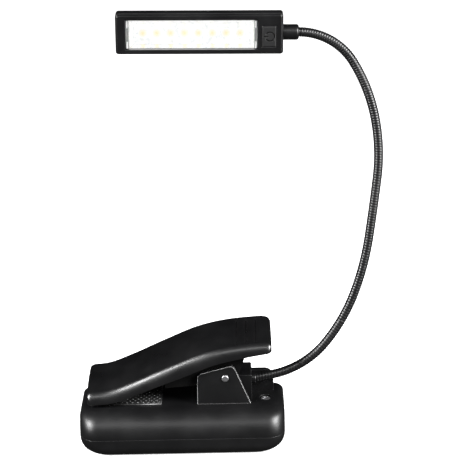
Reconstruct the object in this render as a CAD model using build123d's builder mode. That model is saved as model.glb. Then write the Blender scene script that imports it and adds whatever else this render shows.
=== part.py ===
from build123d import *
import os
from math import cos, radians, sin

# Clip on reading lamp. Millimetres, +Z up, +X to the right, +Y to the back.
# The origin is the centre of the battery box's flat bottom face.

os.makedirs("parts", exist_ok=True)

# ---------------------------------------------------------------- battery box
base_length = 110.0
base_depth = 44.0
base_height = 24.0
base_front_top_radius = 12.5
base_back_top_radius = 4.5
base_bottom_radius = 6.0
base_end_radius = 4.0
base_low_corner_radius = 10.0
base_wall = 2.0
base_floor = 3.0
base_seam_z = 10.6
seam_gap = 0.15

# battery door, which slides out to the left under the box
door_right_x = -1.4
door_half_width = 16.2
door_tongue = 1.0
door_bottom_z = 0.3
door_top_z = 1.4
door_gap = 0.3

# three cells of 10.5 by 44.5 mm, side by side
cell_radius = 5.25
cell_length = 44.5
cell_pitch = 10.6
cell_left_x = -46.9
cell_axis_z = 7.3
nub_length = 1.0
contact_thickness = 0.4
contact_spring_length = 2.3
contact_spring_radius = 2.6
contact_low_z, contact_high_z = 5.2, 12.0

# case screws
top_screw_x = 44.9
counterbore_radius = 3.3
counterbore_depth = 2.0
screw_head_radius = 2.7
screw_head_height = 1.5
screw_shaft_radius = 1.25
bottom_screw_x = 38.0
bottom_screw_y = 12.0

# ------------------------------------------------------------------ the clip
clip_y = 5.5
pin_x = 23.4
pin_z = 38.9
pin_radius = 1.5
pin_running_gap = 0.05
ear_inner = 10.5
ear_outer = 12.7
ear_outline = [(8.3, base_height), (8.7, 41.3), (27.8, 46.3), (36.9, base_height)]
bracket_floor = 1.0

lever_half_depth = 16.3
lever_wall = 1.8
lever_plate = 2.2
lever_right_x = 48.2
lever_top_curve = [(-50.3, 35.4), (-39.8, 36.3), (-26.4, 41.3), (-8.7, 49.3), (8.9, 56.8), (26.3, 60.8), (48.2, 63.0)]
lever_bottom_curve = [(48.2, 54.4), (34.4, 52.0), (17.5, 48.0), (0.5, 41.2), (-16.6, 34.6), (-31.2, 28.7),
                      (-40.0, 26.6), (-50.3, 25.9)]
lever_cavity_left_x = -29.0
lever_ear_inner = 8.8
lever_ear_outer = 10.1
lever_ear_outline = [(-9.0, 32.6), (27.0, 35.4), (31.0, 41.0), (34.8, 51.0), (36.0, 60.5), (26.0, 59.6),
                     (8.9, 55.6), (-9.0, 48.2)]
grip_groove_x = (30.0, 35.1, 40.3)
grip_groove_radius = 1.1
grip_groove_half_length = 14.0

pad_half_depth = 12.3
base_pad_left_x = -49.0
base_pad_right_x = -11.0
base_pad_thickness = 1.0
lever_pad_left_x = -47.0
lever_pad_right_x = -30.0
lever_pad_top_z = 29.5
pad_gap = 0.35

# ------------------------------------------------------------- the gooseneck
block_left_x = 30.0
block_right_x = 37.6
block_half_depth = 8.4
block_top_z = 38.6
wing_right_x = 49.5
wing_front_y = 8.8
wing_back_y = 12.0
wing_top_z = 36.2

neck_radius = 2.5
neck_start = (37.0, clip_y, 32.7)
neck_lean = 5.6
neck_first_heading = 8.0
neck_link_lengths = [14.0] + [32.0] * 6 + [33.9]
neck_link_turns = [5.2, 37.7, 18.7, 11.9, 1.6, 17.3, 20.4, 58.2]
neck_steps = 40
ball_radius = 2.4
socket_radius = 2.48
link_back_off = 1.0
ball_shoulder = 0.3
end_ring_radius = 2.95
end_ring_length = 2.4
bore_gap = 0.05

# ------------------------------------------------------------------ the head
head_length = 86.0
head_height = 21.2
head_thickness = 10.0
head_wall = 1.5
head_corner_radius = 1.5
bezel_back = 3.3
bezel_chamfer = 0.8
window_left, window_right = -37.9, 29.95
window_low, window_high = -8.0, 7.4
tray_left, tray_right = -36.1, 28.2
tray_low, tray_high = -7.6, 7.0
lens_thickness = 1.2
lens_wall = 1.4
led_count = 8
led_first_x = -29.0
led_pitch = 7.13
led_size = 3.0
board_back = -2.0
board_front = -0.8
button_x, button_y = 35.75, -1.2
button_width, button_height = 7.1, 10.7
button_gap = 0.3
button_proud = 0.4
sleeve_length = 8.0
sleeve_radius = 4.0
neck_into_head = 2.5


def pillow(inset, floor):
    """The battery box's rounded form, drawn in by inset with its bottom at floor."""
    depth = base_depth - 2 * inset
    height = base_height - inset - floor
    length = base_length - 2 * inset
    with BuildPart() as form:
        with BuildSketch(Plane.YZ.offset(-length / 2)) as side:
            with Locations((0, floor + height / 2)):
                Rectangle(depth, height)
            top_corners = side.vertices().group_by(Axis.Y)[-1].sort_by(Axis.X)
            fillet(top_corners[0], base_front_top_radius - inset)
            fillet(top_corners[-1], base_back_top_radius - inset)
            fillet(side.vertices().group_by(Axis.Y)[0], base_bottom_radius - inset)
        extrude(amount=length)
        fillet(form.edges().group_by(Axis.X)[0], base_end_radius - inset)
        fillet(form.edges().group_by(Axis.X)[-1], base_end_radius - inset)
        with BuildSketch(Plane.XZ.offset(-depth)) as front:
            with Locations((0, floor + height / 2)):
                Rectangle(length, height)
            fillet(front.vertices().sort_by(Axis.Y)[:2], base_low_corner_radius - inset)
        extrude(amount=2 * depth, mode=Mode.INTERSECT)
    return form.part


def slab(x0, x1, y0, y1, z0, z1, mode=Mode.ADD):
    """A plain block between two corners."""
    with Locations(((x0 + x1) / 2, (y0 + y1) / 2, (z0 + z1) / 2)):
        Box(x1 - x0, y1 - y0, z1 - z0, mode=mode)


def post(x, y, z0, z1, radius, mode=Mode.ADD):
    """An upright round post or hole."""
    with Locations((x, y, (z0 + z1) / 2)):
        Cylinder(radius, z1 - z0, mode=mode)


def cross_recess(plane, size, depth):
    """A cross-shaped driver recess cut into a screw head."""
    with BuildSketch(plane) as recess:
        Rectangle(size, size / 4)
        Rectangle(size / 4, size)
    extrude(recess.sketch, amount=-depth, mode=Mode.SUBTRACT)


base_outer = pillow(0, 0)
base_inner = pillow(base_wall, base_floor)
far = 200.0
block_middle_x = (block_left_x + block_right_x) / 2
lead_hole_radius = 1.6

# --------------------------------------------------------- battery box shells
with BuildPart() as base_upper_shell:
    add(base_outer)
    add(base_inner, mode=Mode.SUBTRACT)
    post(top_screw_x, 0, base_seam_z + 1, base_height - 1, counterbore_radius + 1.2)
    slab(-far, far, -far, far, -far, base_seam_z + seam_gap, mode=Mode.SUBTRACT)
    post(top_screw_x, 0, base_height - counterbore_depth, base_height + 1, counterbore_radius, mode=Mode.SUBTRACT)
    post(top_screw_x, 0, 0, base_height, screw_shaft_radius + bore_gap, mode=Mode.SUBTRACT)
    post(block_middle_x, clip_y, base_height - 4, base_height + 1, lead_hole_radius, mode=Mode.SUBTRACT)
    for y in (-bottom_screw_y, bottom_screw_y):
        post(bottom_screw_x, y, base_seam_z + seam_gap, base_height - 1, 2.6)
        post(bottom_screw_x, y, base_seam_z, base_height - 6, screw_shaft_radius, mode=Mode.SUBTRACT)
base_upper_shell.part.label = "base_upper_shell"
export_step(base_upper_shell.part, "parts/base_upper_shell.step")

cell_right_x = cell_left_x + cell_length
opening_left_x = cell_left_x - 1.5
with BuildPart() as base_lower_shell:
    add(base_outer)
    add(base_inner, mode=Mode.SUBTRACT)
    slab(-far, far, -far, far, base_seam_z, far, mode=Mode.SUBTRACT)
    post(top_screw_x, 0, base_floor - 1, base_seam_z, 3.4)
    post(top_screw_x, 0, base_floor, base_seam_z + 1, screw_shaft_radius, mode=Mode.SUBTRACT)
    for x in (cell_left_x - contact_spring_length - contact_thickness - 1.2, cell_right_x + contact_thickness):
        slab(x, x + 1.2, -15.5, 15.5, base_floor - 0.5, base_seam_z)
    channel_top = door_top_z + door_gap
    slab(-far, door_right_x + door_gap, -door_half_width - door_gap, door_half_width + door_gap,
         -1, channel_top, mode=Mode.SUBTRACT)
    groove_half = door_half_width + door_tongue + door_gap
    slab(-far, door_right_x + door_gap, -groove_half, groove_half,
         door_top_z - 0.4 - door_gap, channel_top, mode=Mode.SUBTRACT)
    slab(opening_left_x, cell_right_x, -15.8, 15.8, 0, base_floor + 0.5, mode=Mode.SUBTRACT)
    for y in (-bottom_screw_y, bottom_screw_y):
        post(bottom_screw_x, y, base_floor - 1, base_seam_z, 3.8)
        post(bottom_screw_x, y, -1, 3.6, screw_head_radius + 0.2, mode=Mode.SUBTRACT)
        post(bottom_screw_x, y, 0, base_seam_z + 1, screw_shaft_radius + bore_gap, mode=Mode.SUBTRACT)
base_lower_shell.part.label = "base_lower_shell"
export_step(base_lower_shell.part, "parts/base_lower_shell.step")

with BuildPart() as battery_door:
    add(base_outer)
    slab(-far, door_right_x, -door_half_width - door_tongue, door_half_width + door_tongue,
         door_bottom_z, door_top_z, mode=Mode.INTERSECT)
    for side in (-1, 1):
        outer = sorted((side * door_half_width, side * (door_half_width + door_tongue)))
        slab(-far, far, outer[0], outer[1], -1, door_top_z - 0.4, mode=Mode.SUBTRACT)
    for x in (-40.0, -37.5, -35.0, -32.5):
        slab(x - 0.5, x + 0.5, -6, 6, 0, door_bottom_z + 0.4, mode=Mode.SUBTRACT)
battery_door.part.label = "battery_door"
export_step(battery_door.part, "parts/battery_door.step")

with BuildPart() as case_screw_top:
    head_z = base_height - counterbore_depth
    post(top_screw_x, 0, 6, head_z, screw_shaft_radius)
    post(top_screw_x, 0, head_z, head_z + screw_head_height, screw_head_radius)
    fillet(case_screw_top.edges().filter_by(GeomType.CIRCLE).sort_by(Axis.Z)[-1], 0.6)
    cross_recess(Plane((top_screw_x, 0, head_z + screw_head_height)).rotated((0, 0, 30)), 3.2, 1.0)
case_screw_top.part.label = "case_screw_top"
export_step(case_screw_top.part, "parts/case_screw_top.step")

with BuildPart() as case_screws_bottom:
    for y in (-bottom_screw_y, bottom_screw_y):
        post(bottom_screw_x, y, 3.6, base_height - 6.5, screw_shaft_radius)
        post(bottom_screw_x, y, 2.1, 3.6, screw_head_radius)
        with BuildSketch(Plane((bottom_screw_x, y, 2.1), z_dir=(0, 0, -1))):
            Rectangle(3.2, 0.8)
            Rectangle(0.8, 3.2)
        extrude(amount=-1.0, mode=Mode.SUBTRACT)
case_screws_bottom.part.label = "case_screws_bottom"
export_step(case_screws_bottom.part, "parts/case_screws_bottom.step")

# ---------------------------------------------------------- cells and contacts
for number, row in enumerate((-1, 0, 1), start=1):
    turned = row == 0
    body_left = cell_left_x if not turned else cell_left_x + nub_length
    nub_left = cell_left_x + cell_length - nub_length if not turned else cell_left_x
    with BuildPart() as battery_cell:
        with BuildSketch(Plane.YZ.offset(body_left)):
            with Locations((row * cell_pitch, cell_axis_z)):
                Circle(cell_radius)
        extrude(amount=cell_length - nub_length)
        with BuildSketch(Plane.YZ.offset(nub_left)):
            with Locations((row * cell_pitch, cell_axis_z)):
                Circle(1.9)
        extrude(amount=nub_length)
    battery_cell.part.label = f"battery_cell_{number}"
    export_step(battery_cell.part, f"parts/battery_cell_{number}.step")

spring_left_x = cell_left_x - contact_spring_length
with BuildPart() as battery_springs:
    for row in (-1, 0, 1):
        with BuildSketch(Plane.YZ.offset(spring_left_x)):
            with Locations((row * cell_pitch, cell_axis_z)):
                Circle(contact_spring_radius)
                Circle(contact_spring_radius - 0.6, mode=Mode.SUBTRACT)
        extrude(amount=contact_spring_length)
battery_springs.part.label = "battery_springs"
export_step(battery_springs.part, "parts/battery_springs.step")

with BuildPart() as battery_contacts:
    for x in (spring_left_x - contact_thickness, cell_right_x):
        slab(x, x + contact_thickness, -15, 15, contact_low_z, contact_high_z)
battery_contacts.part.label = "battery_contacts"
export_step(battery_contacts.part, "parts/battery_contacts.step")

with BuildPart() as base_leads:
    for side in (-1, 1):
        with BuildLine() as route:
            FilletPolyline(
                (cell_right_x + contact_thickness + 1.4, side * 5.0, 13.2),
                (14.0, side * 4.0, 13.2),
                (block_middle_x, clip_y + side * 0.75, 16.0),
                (block_middle_x, clip_y + side * 0.75, 29.8),
                radius=5.0,
            )
        with BuildSketch(Plane(origin=route.line @ 0, z_dir=route.line % 0)):
            Circle(0.55)
        sweep()
base_leads.part.label = "base_leads"
export_step(base_leads.part, "parts/base_leads.step")

# ------------------------------------------------------------------ the clip
with BuildPart() as clip_bracket:
    with BuildSketch(Plane.XZ.offset(-clip_y - ear_outer)) as ear:
        Polygon(*ear_outline, align=None)
        fillet(ear.vertices().sort_by(Axis.Y)[-1], 3.0)
        fillet(ear.vertices().sort_by(Axis.X)[1], 3.5)
    extrude(amount=2 * ear_outer)
    slab(0, far, clip_y - ear_inner, clip_y + ear_inner, base_height + bracket_floor, far, mode=Mode.SUBTRACT)
    slab(block_left_x - 0.5, far, clip_y - ear_inner, clip_y + ear_inner, 0, far, mode=Mode.SUBTRACT)
    with Locations(Plane.XZ.location * Location((pin_x, pin_z, 0))):
        Cylinder(pin_radius, far, mode=Mode.SUBTRACT)
clip_bracket.part.label = "clip_bracket"
export_step(clip_bracket.part, "parts/clip_bracket.step")

with BuildPart() as pivot_pin:
    with BuildSketch(Plane.XZ.offset(ear_outer - clip_y)):
        with Locations((pin_x, pin_z)):
            Circle(pin_radius)
    extrude(amount=-(2 * ear_outer + 1.2))
    with BuildSketch(Plane.XZ.offset(ear_outer - clip_y)):
        with Locations((pin_x, pin_z)):
            Circle(1.9)
    extrude(amount=0.7)
    fillet(pivot_pin.edges().filter_by(GeomType.CIRCLE).sort_by(Axis.Y)[0], 0.6)
pivot_pin.part.label = "pivot_pin"
export_step(pivot_pin.part, "parts/pivot_pin.step")

with BuildPart() as pin_clip:
    with BuildSketch(Plane.XZ.offset(-clip_y - ear_outer)):
        with Locations((pin_x, pin_z)):
            Circle(2.9)
            Circle(pin_radius, mode=Mode.SUBTRACT)
    extrude(amount=-0.6)
pin_clip.part.label = "pin_clip"
export_step(pin_clip.part, "parts/pin_clip.step")

with BuildPart() as lever:
    with BuildSketch(Plane.XZ.offset(-clip_y - lever_half_depth)) as outline:
        with BuildLine():
            top_edge = Spline(*lever_top_curve)
            Line(lever_top_curve[-1], lever_bottom_curve[0])
            bottom_edge = Spline(*lever_bottom_curve)
            Line(lever_bottom_curve[-1], lever_top_curve[0])
        make_face()
        fillet(outline.vertices().sort_by(Axis.Y)[-1], 5.0)
        fillet(outline.vertices().group_by(Axis.X)[0].sort_by(Axis.Y)[-1], 3.0)
    extrude(amount=2 * lever_half_depth)
    for face in (lever.faces().sort_by(Axis.Y)[0], lever.faces().sort_by(Axis.Y)[-1]):
        fillet(face.edges().sort_by(Axis.Z)[-1], 2.6)
    low_ends = lever.edges().filter_by(Axis.Y).group_by(Axis.Z)
    fillet(low_ends[0], 2.5)
    with BuildSketch(Plane.XZ.offset(-clip_y - lever_half_depth + lever_wall)) as cavity:
        with BuildLine():
            lowered = [(x, z - lever_plate) for x, z in lever_top_curve]
            Spline(*lowered)
            Polyline(lowered[-1], (lowered[-1][0], 0), (lowered[0][0], 0), lowered[0])
        make_face()
        with Locations((lever_cavity_left_x - 50, 0)):
            Rectangle(100, 200, mode=Mode.SUBTRACT)
        with Locations((lever_right_x - lever_wall + 50, 0)):
            Rectangle(100, 200, mode=Mode.SUBTRACT)
    extrude(amount=2 * (lever_half_depth - lever_wall), mode=Mode.SUBTRACT)
    for web_front_y in (clip_y - lever_ear_outer, clip_y + lever_ear_inner):
        with BuildSketch(Plane.XZ.offset(-web_front_y)):
            with Locations((pin_x, pin_z)):
                Circle(5.0)
            Polygon(*lever_ear_outline, align=None)
        extrude(amount=lever_ear_inner - lever_ear_outer)
    with Locations(Plane.XZ.location * Location((pin_x, pin_z, 0))):
        Cylinder(pin_radius + pin_running_gap, far, mode=Mode.SUBTRACT)
    slab(lever_pad_left_x - 0.3, lever_pad_right_x + 0.3, clip_y - pad_half_depth - 0.3,
         clip_y + pad_half_depth + 0.3, 0, lever_pad_top_z, mode=Mode.SUBTRACT)
    for x in grip_groove_x:
        groove_z = 61.3 + (x - 26.0) * 0.1
        with BuildSketch(Plane.XZ.offset(-clip_y - grip_groove_half_length)):
            with Locations((x, groove_z)):
                Circle(grip_groove_radius)
        extrude(amount=2 * grip_groove_half_length, mode=Mode.SUBTRACT)
lever.part.label = "lever"
export_step(lever.part, "parts/lever.step")

with BuildPart() as jaw_pad:
    slab(base_pad_left_x, base_pad_right_x, clip_y - pad_half_depth, clip_y + pad_half_depth,
         base_height, base_height + base_pad_thickness)
    chamfer(jaw_pad.edges().group_by(Axis.Z)[-1], 0.3)
jaw_pad.part.label = "jaw_pad"
export_step(jaw_pad.part, "parts/jaw_pad.step")

with BuildPart() as lever_pad:
    slab(lever_pad_left_x, lever_pad_right_x, clip_y - pad_half_depth, clip_y + pad_half_depth,
         base_height + base_pad_thickness + pad_gap, lever_pad_top_z)
    fillet(lever_pad.edges().group_by(Axis.Z)[0], 1.0)
lever_pad.part.label = "lever_pad"
export_step(lever_pad.part, "parts/lever_pad.step")

spring_radius = 2.75
spring_wire = 0.45
spring_half = 5.4
with BuildPart() as torsion_spring:
    with BuildLine() as coil:
        Helix(pitch=1.2, height=2 * spring_half, radius=spring_radius,
              center=(pin_x, clip_y - spring_half, pin_z), direction=(0, 1, 0))
    with BuildSketch(Plane(origin=coil.line @ 0, z_dir=coil.line % 0)):
        Circle(spring_wire)
    sweep()
torsion_spring.part.label = "torsion_spring"
export_step(torsion_spring.part, "parts/torsion_spring.step")

# ------------------------------------------------------------- the gooseneck
with BuildPart() as neck_anchor_block:
    slab(block_left_x, block_right_x, clip_y - block_half_depth, clip_y + block_half_depth, base_height, block_top_z)
    chamfer(neck_anchor_block.edges().filter_by(Axis.Y).group_by(Axis.Z)[-1], 0.5)
    with BuildSketch(Plane.XZ.offset(-wing_back_y)) as wing:
        with Locations(((block_left_x + 2 + wing_right_x) / 2, (base_height + wing_top_z) / 2)):
            Rectangle(wing_right_x - block_left_x - 2, wing_top_z - base_height)
        fillet(wing.vertices().group_by(Axis.Y)[-1].sort_by(Axis.X)[-1], 5.0)
    extrude(amount=wing_back_y - wing_front_y)
    with Locations(Plane.YZ.offset(block_right_x).location * Location((clip_y, neck_start[2], 0))):
        Cylinder(neck_radius + bore_gap, 10, mode=Mode.SUBTRACT)
    post(block_middle_x, clip_y, base_height - 1, neck_start[2], lead_hole_radius, mode=Mode.SUBTRACT)
neck_anchor_block.part.label = "neck_anchor_block"
export_step(neck_anchor_block.part, "parts/neck_anchor_block.step")

neck_up = Vector(0, sin(radians(neck_lean)), cos(radians(neck_lean)))
neck_side = Vector(1, 0, 0).cross(neck_up)
neck_plane = Plane(origin=neck_start, x_dir=(1, 0, 0), z_dir=neck_side)


def neck_walk():
    """Each link's start point and heading in the neck's plane: a chain of arcs that run on smoothly."""
    x, y, heading = 0.0, 0.0, neck_first_heading
    stations = []
    for length, turn in zip(neck_link_lengths, neck_link_turns):
        stations.append((x, y, heading, length, turn))
        for step in range(neck_steps):
            middle = radians(heading + turn * (step + 0.5) / neck_steps)
            x += cos(middle) * length / neck_steps
            y += sin(middle) * length / neck_steps
        heading += turn
    stations.append((x, y, heading, 0.0, 0.0))
    return stations


def point_on_link(station, distance):
    """The point and heading a distance along one link's arc."""
    x, y, heading, length, turn = station
    swept = turn * distance / length
    for step in range(neck_steps):
        middle = radians(heading + swept * (step + 0.5) / neck_steps)
        x += cos(middle) * distance / neck_steps
        y += sin(middle) * distance / neck_steps
    return x, y, heading + swept


stations = neck_walk()
last_link = len(neck_link_lengths) - 1
for number, station in enumerate(stations[:-1]):
    length, turn = station[3], station[4]
    begin = -3.5 if number == 0 else link_back_off
    finish = length + neck_into_head + sleeve_length if number == last_link else length - ball_shoulder
    x, y, heading = point_on_link(station, max(begin, 0.0))
    arc_end = min(finish, length)
    arc_length = arc_end - max(begin, 0.0)
    with BuildPart() as neck_link:
        with BuildLine(neck_plane) as centre_line:
            direction = (cos(radians(heading)), sin(radians(heading)))
            arc = JernArc((x, y), direction, arc_length / radians(turn * arc_length / length),
                          turn * arc_length / length)
            if finish > length:
                end_x, end_y, end_heading = point_on_link(station, length)
                tail = finish - length
                Line(arc @ 1, (end_x + tail * cos(radians(end_heading)), end_y + tail * sin(radians(end_heading))))
        with BuildSketch(Plane(origin=centre_line.line @ 0, z_dir=centre_line.line % 0)):
            Circle(neck_radius)
        sweep()
        if number == 0:
            with BuildSketch(Plane.YZ.offset(neck_start[0] + begin)):
                with Locations((clip_y, neck_start[2])):
                    Circle(neck_radius)
            extrude(amount=-begin + 0.4)
        if number < last_link:
            ball_x, ball_y = stations[number + 1][:2]
            with Locations(neck_plane.from_local_coords((ball_x, ball_y, 0))):
                Sphere(ball_radius)
        if number > 0:
            with Locations(neck_plane.from_local_coords((station[0], station[1], 0))):
                Sphere(socket_radius, rotation=(35, 20, 10), mode=Mode.SUBTRACT)
    name = "neck_foot" if number == 0 else f"neck_link_{number}"
    neck_link.part.label = name
    export_step(neck_link.part, f"parts/{name}.step")

with BuildPart() as neck_end_ring:
    with BuildSketch(Plane.YZ.offset(block_right_x)):
        with Locations((clip_y, neck_start[2] + 0.15)):
            Circle(end_ring_radius)
    extrude(amount=end_ring_length)
    fillet(neck_end_ring.edges(), 0.5)
    with BuildLine(neck_plane):
        run = Line((-1, -1 * sin(radians(neck_first_heading))), (6, 6 * sin(radians(neck_first_heading + 1))))
    with BuildSketch(Plane(origin=run @ 0, z_dir=run % 0)):
        Circle(neck_radius + 0.08)
    extrude(amount=8, mode=Mode.SUBTRACT)
neck_end_ring.part.label = "neck_end_ring"
export_step(neck_end_ring.part, "parts/neck_end_ring.step")

# ------------------------------------------------------------------ the head
end_heading = radians(stations[-1][2])
neck_end = neck_plane.from_local_coords((stations[-1][0], stations[-1][1], 0))
inward = Vector(1, 0, 0) * cos(end_heading) + neck_up * sin(end_heading)
head_x = inward * -1
head_centre = neck_end + inward * (sleeve_length + head_length / 2)
head_plane = Plane(origin=head_centre, x_dir=head_x, z_dir=Vector(head_x.Y, -head_x.X, 0))
back = -head_thickness / 2
face = head_thickness / 2


def head_slab(x0, x1, y0, y1, z0, z1, mode=Mode.ADD):
    """A block in the head's own directions: along it, up it and towards its lit face."""
    with BuildSketch(head_plane.offset(z0)) as outline:
        with Locations(((x0 + x1) / 2, (y0 + y1) / 2)):
            Rectangle(x1 - x0, y1 - y0)
    extrude(outline.sketch, amount=z1 - z0, mode=mode)


def head_bore(radius, start, finish, mode=Mode.SUBTRACT):
    """A round bore or rod along the head's length on its centre line."""
    bore_plane = Plane(origin=head_plane.from_local_coords((start, 0, 0)), z_dir=head_x)
    with BuildSketch(bore_plane) as round_section:
        Circle(radius)
    extrude(round_section.sketch, amount=finish - start, mode=mode)


with BuildPart() as head_back_shell:
    with BuildSketch(head_plane.offset(back)):
        RectangleRounded(head_length, head_height, head_corner_radius)
    extrude(amount=bezel_back - back)
    rear_face = head_back_shell.faces().sort_by(Axis.Y)[-1]
    fillet(rear_face.edges(), 1.2)
    inner_length = head_length - 2 * head_wall
    with BuildSketch(head_plane.offset(back + head_wall)):
        Rectangle(inner_length, head_height - 2 * head_wall)
    extrude(amount=head_thickness, mode=Mode.SUBTRACT)
    head_bore(neck_radius + bore_gap, head_length / 2 - 4, head_length / 2 + 4)
head_back_shell.part.label = "head_back_shell"
export_step(head_back_shell.part, "parts/head_back_shell.step")

with BuildPart() as head_bezel:
    with BuildSketch(head_plane.offset(bezel_back)):
        RectangleRounded(head_length - 0.4, head_height - 0.4, head_corner_radius)
    extrude(amount=face - bezel_back)
    front_face = head_bezel.faces().sort_by(Axis.Y)[0]
    chamfer(front_face.edges(), bezel_chamfer)
    head_slab(window_left, window_right, window_low, window_high, bezel_back - 1, face + 1, mode=Mode.SUBTRACT)
    hole_half_x = button_width / 2 + button_gap
    hole_half_y = button_height / 2 + button_gap
    head_slab(button_x - hole_half_x, button_x + hole_half_x, button_y - hole_half_y, button_y + hole_half_y,
              bezel_back - 1, face + 1, mode=Mode.SUBTRACT)
head_bezel.part.label = "head_bezel"
export_step(head_bezel.part, "parts/head_bezel.step")

tray_back = 0.0
tray_front = bezel_back - 0.1
with BuildPart() as reflector_tray:
    head_slab(tray_left, tray_right, tray_low, tray_high, tray_back, tray_front)
    with BuildSketch(head_plane.offset(0.6)):
        with Locations(((tray_left + tray_right) / 2, -0.4)):
            Rectangle(tray_right - tray_left - 5, 11.4)
    with BuildSketch(head_plane.offset(tray_front)):
        with Locations(((tray_left + tray_right) / 2, (tray_low + tray_high) / 2)):
            Rectangle(tray_right - tray_left - 1.2, tray_high - tray_low - 1.0)
    loft(mode=Mode.SUBTRACT)
    for index in range(led_count):
        x = led_first_x + index * led_pitch
        half = led_size / 2 + 0.1
        head_slab(x - half, x + half, -half, half, tray_back - 1, 2, mode=Mode.SUBTRACT)
reflector_tray.part.label = "reflector_tray"
export_step(reflector_tray.part, "parts/reflector_tray.step")

with BuildPart() as lens:
    lens_left, lens_right = window_left + 0.1, window_right - 0.1
    head_slab(lens_left, lens_right, window_low + 0.1, window_high - 0.1, bezel_back, bezel_back + lens_thickness)
    head_slab(lens_left, lens_left + lens_wall, tray_low, tray_high, tray_back, bezel_back)
    head_slab(lens_right - lens_wall, lens_right, tray_low, tray_high, tray_back, bezel_back)
lens.part.label = "lens"
export_step(lens.part, "parts/lens.step")

with BuildPart() as led_board:
    head_slab(-37.0, 38.0, -7.4, 7.4, board_back, board_front)
led_board.part.label = "led_board"
export_step(led_board.part, "parts/led_board.step")

with BuildPart() as board_posts:
    for x in (-33.0, -4.4, 24.0):
        head_slab(x - 1.5, x + 1.5, -6, 6, back + head_wall, board_back)
board_posts.part.label = "board_posts"
export_step(board_posts.part, "parts/board_posts.step")

with BuildPart() as leds:
    for index in range(led_count):
        x = led_first_x + index * led_pitch
        half = led_size / 2
        head_slab(x - half, x + half, -half, half, board_front, 0.5)
        with BuildSketch(head_plane.offset(0.5)):
            with Locations((x, 0)):
                Circle(1.1)
        extrude(amount=0.4, taper=25)
leds.part.label = "leds"
export_step(leds.part, "parts/leds.step")

with BuildPart() as button_switch:
    head_slab(32.6, 37.1, -3.5, 1.0, board_front, 1.2)
    with BuildSketch(head_plane.offset(1.2)):
        with Locations((34.85, -1.25)):
            Circle(1.0)
    extrude(amount=0.2)
button_switch.part.label = "button_switch"
export_step(button_switch.part, "parts/button_switch.step")

with BuildPart() as power_button:
    half_x, half_y = button_width / 2, button_height / 2
    head_slab(button_x - half_x, button_x + half_x, button_y - half_y, button_y + half_y, 2.9, face + button_proud)
    fillet(power_button.faces().sort_by(Axis.Y)[0].edges(), 0.5)
    head_slab(button_x - 4.05, button_x + 4.05, button_y - 6.0, button_y + 6.0, 2.2, 3.0)
    with BuildSketch(head_plane.offset(face + button_proud)):
        with Locations((button_x + 0.4, button_y + 0.1)):
            Circle(2.6)
            Circle(2.05, mode=Mode.SUBTRACT)
        with Locations((button_x - 2.0, button_y + 0.1)):
            Rectangle(2.2, 2.0, mode=Mode.SUBTRACT)
            Rectangle(2.4, 0.6)
    extrude(amount=-0.25, mode=Mode.SUBTRACT)
power_button.part.label = "power_button"
export_step(power_button.part, "parts/power_button.step")

with BuildPart() as neck_sleeve:
    head_bore(sleeve_radius, head_length / 2, head_length / 2 + sleeve_length, mode=Mode.ADD)
    fillet(neck_sleeve.edges().sort_by(Axis.X)[-1], 1.2)
    head_bore(neck_radius + bore_gap, head_length / 2 - 2, head_length / 2 + sleeve_length + 2)
neck_sleeve.part.label = "neck_sleeve"
export_step(neck_sleeve.part, "parts/neck_sleeve.step")

with BuildPart() as neck_retainer:
    ring_start = head_length / 2 - neck_into_head
    head_bore(3.2, ring_start, ring_start + 0.9, mode=Mode.ADD)
    head_bore(neck_radius, ring_start - 1, ring_start + 3)
neck_retainer.part.label = "neck_retainer"
export_step(neck_retainer.part, "parts/neck_retainer.step")

with BuildPart() as head_leads:
    for side in (-1, 1):
        with BuildLine() as route:
            Line(head_plane.from_local_coords((40.2, side * 0.9, 0.0)),
                 head_plane.from_local_coords((38.7, side * 2.4, -1.2)))
        with BuildSketch(Plane(origin=route.line @ 0, z_dir=route.line % 0)):
            Circle(0.45)
        sweep()
head_leads.part.label = "head_leads"
export_step(head_leads.part, "parts/head_leads.step")
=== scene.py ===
import math

import bpy
from mathutils import Matrix, Vector


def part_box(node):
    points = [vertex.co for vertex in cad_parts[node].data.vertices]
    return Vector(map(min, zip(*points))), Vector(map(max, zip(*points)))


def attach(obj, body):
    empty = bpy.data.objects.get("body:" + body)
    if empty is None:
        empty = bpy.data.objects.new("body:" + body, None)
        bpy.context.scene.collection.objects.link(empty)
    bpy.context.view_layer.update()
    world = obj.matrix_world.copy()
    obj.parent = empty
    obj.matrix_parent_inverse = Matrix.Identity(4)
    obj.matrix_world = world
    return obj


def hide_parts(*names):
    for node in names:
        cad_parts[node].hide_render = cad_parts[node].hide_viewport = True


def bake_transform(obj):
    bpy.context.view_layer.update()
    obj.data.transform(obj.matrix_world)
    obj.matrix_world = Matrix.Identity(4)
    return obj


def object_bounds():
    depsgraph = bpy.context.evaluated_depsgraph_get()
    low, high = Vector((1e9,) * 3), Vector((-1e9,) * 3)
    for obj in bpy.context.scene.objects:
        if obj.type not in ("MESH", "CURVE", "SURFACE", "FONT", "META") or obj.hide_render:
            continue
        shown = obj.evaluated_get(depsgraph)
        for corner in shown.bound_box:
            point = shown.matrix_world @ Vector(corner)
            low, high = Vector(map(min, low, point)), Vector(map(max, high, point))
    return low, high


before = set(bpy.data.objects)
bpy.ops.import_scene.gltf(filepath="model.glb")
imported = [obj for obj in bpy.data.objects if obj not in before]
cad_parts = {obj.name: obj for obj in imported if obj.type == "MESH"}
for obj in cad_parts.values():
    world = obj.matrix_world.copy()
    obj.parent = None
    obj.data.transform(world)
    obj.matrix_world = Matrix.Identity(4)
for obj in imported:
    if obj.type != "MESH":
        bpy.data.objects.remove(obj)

cad_low, cad_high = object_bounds()
MM = 0.001
scene = bpy.context.scene

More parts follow.
